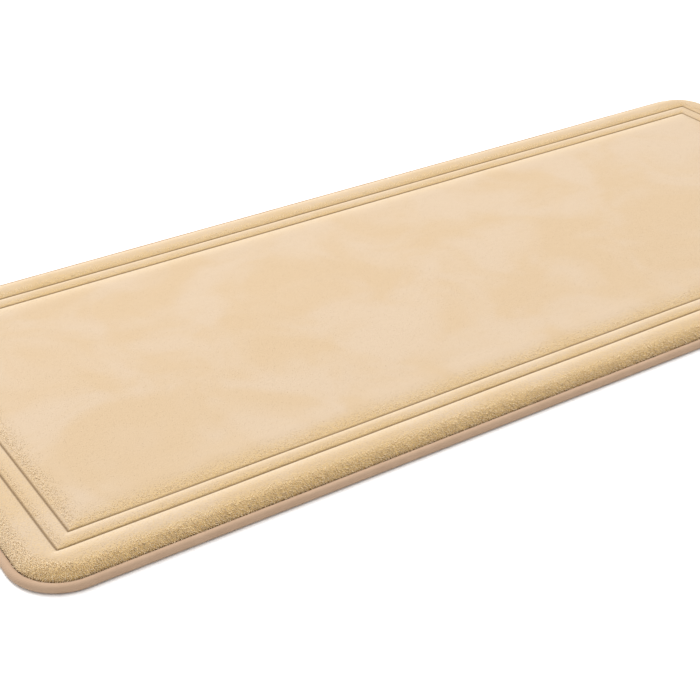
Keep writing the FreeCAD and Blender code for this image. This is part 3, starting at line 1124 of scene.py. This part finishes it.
@dataclass
class StitchRun:
    """Lockstitches laid end to end along a closed line.

    A stitch fills the share of its pitch that filled gives.
    """

    pitch: float = 3.4 * MM
    filled: float = 0.94
    radius: float = 0.3 * MM
    repeat: Repeat = field(init=False)

    def __post_init__(self) -> None:
        """Builds the tree: the line is divided into stitches, each a short bowed thread."""
        self.repeat = Repeat(
            "lockstitches", "Stitch Pitch", "Stitch Length", "Thread Radius", "Bow", "Seed", "Material")
        tree, given = self.repeat.tree, self.repeat.given
        line = add_node(tree, "GeometryNodeMeshToCurve", {"Mesh": given["Geometry"]})
        places = add_node(tree, "GeometryNodeResampleCurve", {
            "Curve": line, "Length": given["Stitch Pitch"]}, mode="LENGTH")
        half = add_node(tree, "ShaderNodeMath", {0: given["Stitch Length"], 1: 0.5}, operation="MULTIPLY")
        minus_half = add_node(tree, "ShaderNodeMath", {0: half, 1: -1.0}, operation="MULTIPLY")
        dip = add_node(tree, "ShaderNodeMath", {0: given["Bow"], 1: -1.0}, operation="MULTIPLY")
        first = add_node(tree, "ShaderNodeCombineXYZ", {"X": minus_half, "Z": dip})
        last = add_node(tree, "ShaderNodeCombineXYZ", {"X": half, "Z": dip})
        middle = add_node(tree, "ShaderNodeCombineXYZ", {"Z": given["Bow"]})
        bowed = add_node(tree, "GeometryNodeCurveQuadraticBezier", {
            "Resolution": 4, "Start": first, "Middle": middle, "End": last})
        section = add_node(tree, "GeometryNodeCurvePrimitiveCircle", {
            "Resolution": 6, "Radius": given["Thread Radius"]}, mode="RADIUS")
        thread = add_node(tree, "GeometryNodeCurveToMesh", {
            "Curve": bowed, "Profile Curve": section, "Fill Caps": True})
        tangent = add_node(tree, "GeometryNodeInputTangent")
        turned = add_node(tree, "FunctionNodeAlignRotationToVector", {"Vector": tangent}, axis="X")
        jitter = add_node(tree, "FunctionNodeRandomValue", {
            "Min": (-0.05, -0.05, -0.09), "Max": (0.05, 0.05, 0.09), "Seed": given["Seed"]},
            data_type="FLOAT_VECTOR")
        set_down = add_node(tree, "FunctionNodeRotateRotation", {
            "Rotation": turned, "Rotate By": jitter}, rotation_space="LOCAL")
        stitches = add_node(tree, "GeometryNodeInstanceOnPoints", {
            "Points": places, "Instance": thread, "Rotation": set_down})
        self.repeat.close(stitches)

    def lay(self, name: str, path: np.ndarray, slot: str, node: str, material: bpy.types.Material,
            seed: int, bow: float = 0.22 * MM) -> None:
        """Sews one closed line.

        Args:
            name: The piece's name.
            path: Points of the line.
            slot: The material slot's name.
            node: The CAD node it stands for.
            material: The thread's finish.
            seed: Seed of the stitches' small turns.
            bow: How far a stitch rises in its middle and dips at its ends.
        """
        edges = [(i, (i + 1) % len(path)) for i in range(len(path))]
        mesh = bpy.data.meshes.new(name)
        mesh.from_pydata([tuple(point) for point in path], edges, [])
        piece = bpy.data.objects.new(name, mesh)
        bpy.context.scene.collection.objects.link(piece)
        self.repeat.run(piece, {
            "Stitch Pitch": self.pitch, "Stitch Length": self.pitch * self.filled,
            "Thread Radius": self.radius, "Bow": bow, "Seed": seed, "Material": material})
        declare(piece, slot, node)


@dataclass(frozen=True)
class PileZone:
    """A part of the cover between two insets, made as one piece."""

    name: str
    start: float
    end: float


@dataclass
class Pile:
    """The plush's pile: locks of fibre that stand where it is parted and lie down elsewhere."""

    cover: PlushCover
    finish: PileTips = field(default_factory=PileTips)
    locks_per_square_mm: float = 1.2
    spacing: float = 0.95 * MM
    length: float = 2.4 * MM
    width: float = 0.42 * MM
    jitter: float = 0.5
    least_growth: float = 0.35
    least_cover: float = 0.22
    shorter_within: float = 5.0 * MM
    first_seed: int = 40
    zones: tuple[PileZone, ...] = (
        PileZone("border_pile", 8.0 * MM, 42.6 * MM),
        PileZone("band_pile", 43.4 * MM, 60.6 * MM),
        PileZone("shoulder_pile", 61.4 * MM, 90.0 * MM),
        PileZone("field_pile", 90.0 * MM, 300.0 * MM),
    )

    def build(self) -> None:
        """Grows each zone's pile on a copy of the cover's face."""
        material = self.finish.build()
        tree = self._tree()
        for seed, zone in enumerate(self.zones):
            ground = self._ground(zone)
            tree.run(ground, {
                "Density": self.locks_per_square_mm / MM ** 2, "Spacing": self.spacing,
                "Length": self.length, "Width": self.width, "Jitter": self.jitter,
                "Seed": self.first_seed + seed, "Material": material})
            declare(ground, "plush_cloth", "top_cover")

    def _ground(self, zone: PileZone) -> bpy.types.Object:
        """The cover's outer faces in a zone, with what the pile follows on them.

        Args:
            zone: The part of the cover.

        Returns:
            An object that holds just those faces.
        """
        source = self.cover.piece.data
        outline = self.cover.outline
        points = vectors(source.vertices, "co")
        insets = outline.inset_of(points)
        inside = (insets >= zone.start) & (insets < zone.end)
        faces = [
            tuple(face.vertices) for face in source.polygons
            if face.normal.z > 0.02 and all(inside[number] for number in face.vertices)]
        used = sorted({number for face in faces for number in face})
        renumbered = {number: order for order, number in enumerate(used)}
        ground = mesh_object(
            zone.name, points[used], [tuple(renumbered[number] for number in face) for face in faces], None)
        normals = vectors(source.vertices, "normal")[used]
        layers = {}
        for name in ("parted_and_shaded", "ruffled"):
            layers[name] = np.zeros(len(source.vertices))
            source.attributes[name].data.foreach_get("value", layers[name])
        parted_and_shaded, ruffled = layers["parted_and_shaded"][used], layers["ruffled"][used]
        nap = np.array([*self.cover.nap, 0.0])
        downhill = np.array([0.0, 0.0, -1.0]) + normals * normals[:, 2:3]
        up = np.clip(parted_and_shaded + 0.2 * ruffled, 0, 1)[:, None]
        lean = normals * (0.2 + 0.55 * up) + nap * (1 - up) * 0.9 + downhill * 0.9 * up
        lean /= np.linalg.norm(lean, axis=1, keepdims=True)
        standing = np.clip(np.maximum(parted_and_shaded * 1.3, ruffled), 0, 1)
        away = outline.from_stitching(insets[used])
        growth = self.least_growth + (1 - self.least_growth) * np.clip(
            np.maximum(1.4 * parted_and_shaded, 0.85 * ruffled), 0, 1)
        growth *= 1 + 0.3 * parted_and_shaded * ruffled
        growth *= 0.3 + 0.7 * np.clip(away / self.shorter_within, 0, 1)
        thick = self.least_cover + (1 - self.least_cover) * standing
        attribute = ground.data.attributes.new("lean", "FLOAT_VECTOR", "POINT")
        attribute.data.foreach_set("vector", lean.ravel())
        # Where the locks show their dark-to-pale colour: on slopes against the nap, where it is partly
        # painted shade and light, and on ruffled slopes.
        shown = np.clip(parted_and_shaded + 0.8 * ruffled, 0, 1)
        store(ground.data, {"standing": shown, "growth": growth, "thick": thick})
        return ground

    def _tree(self) -> Repeat:
        """The tree that scatters locks over a mesh and turns each to its lean."""
        repeat = Repeat("pile_locks", "Density", "Spacing", "Length", "Width", "Jitter", "Seed", "Material")
        tree, given = repeat.tree, repeat.given
        thick = add_node(tree, "GeometryNodeInputNamedAttribute", {"Name": "thick"}, data_type="FLOAT")
        scattered = add_node(tree, "GeometryNodeDistributePointsOnFaces", {
            "Mesh": given["Geometry"], "Distance Min": given["Spacing"],
            "Density Max": given["Density"], "Density Factor": thick,
            "Seed": given["Seed"]}, distribute_method="POISSON")
        lean = add_node(tree, "GeometryNodeInputNamedAttribute", {"Name": "lean"}, data_type="FLOAT_VECTOR")
        least = add_node(tree, "ShaderNodeMath", {0: given["Jitter"], 1: -1.0}, operation="MULTIPLY")
        stray = add_node(tree, "FunctionNodeRandomValue", {
            "Min": least, "Max": given["Jitter"], "Seed": given["Seed"]}, data_type="FLOAT_VECTOR")
        way = add_node(tree, "ShaderNodeVectorMath", {0: lean, 1: stray}, operation="ADD")
        turned = add_node(tree, "FunctionNodeAlignRotationToVector", {"Vector": way}, axis="Z")
        lock = add_node(tree, "GeometryNodeMeshCone", {
            "Vertices": 3, "Radius Top": 0.0, "Radius Bottom": given["Width"],
            "Depth": given["Length"]})
        place = add_node(tree, "GeometryNodeInputPosition")
        tall = add_node(tree, "ShaderNodeSeparateXYZ", {0: place})
        up = add_node(tree, "ShaderNodeMath", {
            0: tall.outputs["Z"], 1: given["Length"]}, operation="DIVIDE")
        marked = add_node(tree, "GeometryNodeStoreNamedAttribute", {
            "Geometry": lock, "Name": "up_lock", "Value": up}, data_type="FLOAT", domain="POINT")
        size = add_node(tree, "FunctionNodeRandomValue", {
            "Min": (0.7, 0.7, 0.6), "Max": (1.15, 1.15, 1.2), "Seed": given["Seed"]},
            data_type="FLOAT_VECTOR")
        growth = add_node(tree, "GeometryNodeInputNamedAttribute", {"Name": "growth"}, data_type="FLOAT")
        grown = add_node(tree, "ShaderNodeVectorMath", {0: size, "Scale": growth}, operation="SCALE")
        locks = add_node(tree, "GeometryNodeInstanceOnPoints", {
            "Points": scattered, "Instance": marked, "Rotation": turned, "Scale": grown})
        shade = add_node(tree, "FunctionNodeRandomValue", {"Seed": given["Seed"]}, data_type="FLOAT")
        shaded = add_node(tree, "GeometryNodeStoreNamedAttribute", {
            "Geometry": locks, "Name": "lock_shade", "Value": shade},
            data_type="FLOAT", domain="INSTANCE")
        repeat.close(shaded)
        return repeat


@dataclass
class DotField:
    """Anti-slip dots in staggered rows under the backing, one of them at the mat's centre."""

    outline: Outline
    spacing: float = 18.0 * MM
    margin: float = 17.0 * MM
    base_radius: float = 2.1 * MM
    sides: int = 10
    finish: MouldedPvc = field(default_factory=MouldedPvc)

    def build(self) -> None:
        """Sets the dots out on two interleaved grids, and drops those past the outline."""
        low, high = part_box("anti_slip_dots")
        repeat = Repeat("staggered_dots", "Spacing", "Material")
        tree, given = repeat.tree, repeat.given
        columns = 2 * int((self.outline.half_x - self.margin) / self.spacing) + 1
        rows = 2 * int((self.outline.half_y - self.margin) / self.spacing) + 1
        both = add_node(tree, "GeometryNodeJoinGeometry")
        for fewer in (0, 1):
            grid = self._grid(tree, given["Spacing"], columns - fewer, rows - fewer)
            tree.links.new(grid.outputs["Mesh"], both.inputs[0])
        kept = add_node(tree, "GeometryNodeDeleteGeometry", {
            "Geometry": both, "Selection": self._past_outline(tree)}, domain="POINT")
        points = add_node(tree, "GeometryNodeMeshToPoints", {"Mesh": kept})
        dots = add_node(tree, "GeometryNodeInstanceOnPoints", {
            "Points": points, "Instance": given["Geometry"]})
        repeat.close(dots)
        piece = self._dot(high.z - low.z)
        repeat.run(piece, {"Spacing": self.spacing, "Material": self.finish.build()})
        declare(piece, "dot_pvc", "anti_slip_dots")

    def _dot(self, height: float) -> bpy.types.Object:
        """One dot standing on the floor: a low drop of plastic, flat where it stands."""
        rings = [(0.66, 0.0), (0.93, 0.3), (1.0, 1.0)]
        turns = np.linspace(0, 2 * math.pi, self.sides, endpoint=False)
        points = [
            (wide * self.base_radius * math.cos(turn), wide * self.base_radius * math.sin(turn),
             tall * height) for wide, tall in rings for turn in turns]
        faces = [tuple(range(self.sides))[::-1]]
        for ring in range(len(rings) - 1):
            for side in range(self.sides):
                low = ring * self.sides
                high = low + self.sides
                beside = (side + 1) % self.sides
                faces.append((low + side, low + beside, high + beside, high + side))
        top = (len(rings) - 1) * self.sides
        faces.append(tuple(top + side for side in range(self.sides)))
        return mesh_object("anti_slip_dot_field", np.array(points), faces, None)

    def _grid(self, tree: bpy.types.NodeTree, spacing: bpy.types.NodeSocket, columns: int,
              rows: int) -> bpy.types.Node:
        """Adds one centred grid of points.

        Args:
            tree: The dots' tree.
            spacing: The gap between points each way.
            columns: Points along the mat.
            rows: Points across it.

        Returns:
            The grid's node.
        """
        spans = [
            add_node(tree, "ShaderNodeMath", {0: spacing, 1: float(count - 1)}, operation="MULTIPLY")
            for count in (columns, rows)]
        return add_node(tree, "GeometryNodeMeshGrid", {
            "Size X": spans[0], "Size Y": spans[1], "Vertices X": columns, "Vertices Y": rows})

    def _past_outline(self, tree: bpy.types.NodeTree) -> bpy.types.Node:
        """Adds a test of whether a point is nearer to the mat's edge than the margin.

        Args:
            tree: The dots' tree.

        Returns:
            The node that tells it.
        """
        radius = self.outline.corner_radius
        centre = (self.outline.half_x - radius, self.outline.half_y - radius, 0.0)
        place = add_node(tree, "GeometryNodeInputPosition")
        mirrored = add_node(tree, "ShaderNodeVectorMath", {0: place}, operation="ABSOLUTE")
        past = add_node(tree, "ShaderNodeVectorMath", {0: mirrored, 1: centre}, operation="SUBTRACT")
        beyond = add_node(tree, "ShaderNodeVectorMath", {0: past, 1: (0, 0, 0)}, operation="MAXIMUM")
        reach = add_node(tree, "ShaderNodeVectorMath", {0: beyond}, operation="LENGTH")
        return add_node(tree, "FunctionNodeCompare", {
            0: reach, 1: radius - self.margin}, operation="GREATER_THAN")


# Stage


class Lamp(Enum):
    """The studio's lamps: place in metres, width, power in watts."""

    KEY = ((-0.6, 3.1, 3.6), 2.2, 193.0)
    OVERHEAD = ((0.0, 0.0, 4.5), 5.0, 140.0)


@dataclass
class Studio:
    """A plain white floor, soft lamps and the camera."""

    camera_place: tuple[float, float, float] = (-0.8639, -1.1247, 0.7772)
    heading_degrees: float = 33.117
    pitch_degrees: float = 31.419
    lens_mm: float = 75.18
    sensor_mm: float = 36.0
    floor_half: float = 8.0
    floor_drop: float = 0.02 * MM
    sky: float = 0.72

    def build(self) -> None:
        """Sets up the floor, the light and the camera."""
        self._floor()
        self._light()
        data = bpy.data.cameras.new("camera")
        data.lens = self.lens_mm
        data.sensor_width = self.sensor_mm
        data.dof.use_dof = False
        camera = bpy.data.objects.new("camera", data)
        camera.location = self.camera_place
        tilt = math.radians(90 - self.pitch_degrees)
        camera.rotation_euler = (tilt, 0.0, -math.radians(self.heading_degrees))
        bpy.context.scene.collection.objects.link(camera)
        bpy.context.scene.camera = camera

    def _floor(self) -> None:
        """Lays a large matt white floor just under the dots that the mat stands on."""
        half, top = self.floor_half, -self.floor_drop
        corners = np.array([(-half, -half, top), (half, -half, top), (half, half, top), (-half, half, top)])
        mesh_object("studio_floor", corners, [(0, 1, 2, 3)], FloorPaint().build())

    def _light(self) -> None:
        """Hangs the lamps and sets an even pale sky."""
        scene = bpy.context.scene
        scene.view_settings.view_transform = "Standard"
        world = bpy.data.worlds.new("studio")
        world.use_nodes = True
        background = world.node_tree.nodes["Background"]
        background.inputs["Color"].default_value = linear("ffffff")
        background.inputs["Strength"].default_value = self.sky
        scene.world = world
        for lamp in Lamp:
            place, width, power = lamp.value
            data = bpy.data.lights.new(lamp.name.lower(), "AREA")
            data.size = width
            data.energy = power
            hung = bpy.data.objects.new(lamp.name.lower(), data)
            hung.location = place
            hung.rotation_euler = (-Vector(place)).to_track_quat("-Z", "Y").to_euler()
            scene.collection.objects.link(hung)


def dress_hidden_nodes(frame: dict) -> None:
    """Gives the CAD nodes that stay inside the mat their own finishes.
    """
    finishes = {
        "support_foam": OpenCellFoam("polyurethane_foam", "9aa0a6", 2.2),
        "piping_cord": CottonTwist(),
    }
    for node, finish in finishes.items():
        mesh = frame["nodes"][node].data
        mesh.materials.clear()
        mesh.materials.append(finish.build())
        LOG.info("%s: dressed", node)


def ring_path(outline: Outline, inset: float, height: float, spacing: float = 6.0 * MM) -> np.ndarray:
    """Lays points round the outline.

    Args:
        outline: The mat's outline.
        inset: How far in from it they are.
        height: Their height.
        spacing: The gap between them, along the outline.

    Returns:
        The points, one row each.
    """
    anchors, outwards = outline.stations(spacing)
    flat = anchors + outwards * (outline.corner_radius - inset)
    return np.column_stack([flat, np.full(len(flat), height)])


def flattened(path: np.ndarray, height: float) -> np.ndarray:
    """Returns a path's points, moved to one height."""
    level = path.copy()
    level[:, 2] = height
    return level


def sew(outline: Outline, cover: PlushCover) -> None:
    """Sews the quilting lines and the edge seam, needle and bobbin threads alike.

    Args:
        outline: The mat's outline.
        cover: The finished cover, whose grooves the quilting follows.
    """
    run = StitchRun()
    # The quilting thread is a dark tan: partly the thread's colour, partly painted shade of the crease it
    # lies in.
    quilting = SpunThread("spun_polyester_tan_with_crease_shade", "84694a").build()
    bobbin = SpunThread("spun_polyester_beige", "cdb897").build()
    seam = SpunThread("spun_polyester_brown", "b39468").build()
    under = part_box("backing_fabric")[0].z - 0.05 * MM
    grooves = (("outer", outline.outer_groove), ("inner", outline.inner_groove))
    for seed, (line, inset) in enumerate(grooves):
        path = cover.stitch_path(inset)
        node = f"{line}_quilting_thread"
        run.lay(f"{line}_quilting_stitches", path, "quilting_thread", node, quilting, seed)
        node = f"{line}_quilting_bobbin_thread"
        run.lay(f"{line}_bobbin_stitches", flattened(path, under), "bobbin_thread", node, bobbin, seed + 10,
                bow=-0.12 * MM)
    for seed, node in enumerate(("edge_seam_thread", "edge_seam_bobbin_thread")):
        low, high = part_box(node)
        radius = (high.z - low.z) / 2
        path = ring_path(outline, outline.half_x - high.x + radius, low.z + radius)
        run.lay(node.replace("thread", "stitches"), path, "seam_thread", node, seam, seed + 20,
                bow=0.1 * MM)


def main() -> None:
    """Loads the frame and builds the mat round it, piece by piece."""
    logging.basicConfig(level=logging.INFO, format="%(name)s: %(message)s")
    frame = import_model()
    Studio().build()
    outline = Outline.from_frame()
    LOG.info("stitch lines %.1f and %.1f mm in", outline.outer_groove / MM, outline.inner_groove / MM)
    cover = PlushCover(outline)
    cover.build()
    FoamCore(cover).build()
    Piping(outline).build()
    Backing(outline).build()
    sew(outline, cover)
    Pile(cover).build()
    DotField(outline).build()
    dress_hidden_nodes(frame)


if __name__ == "__main__":
    main()
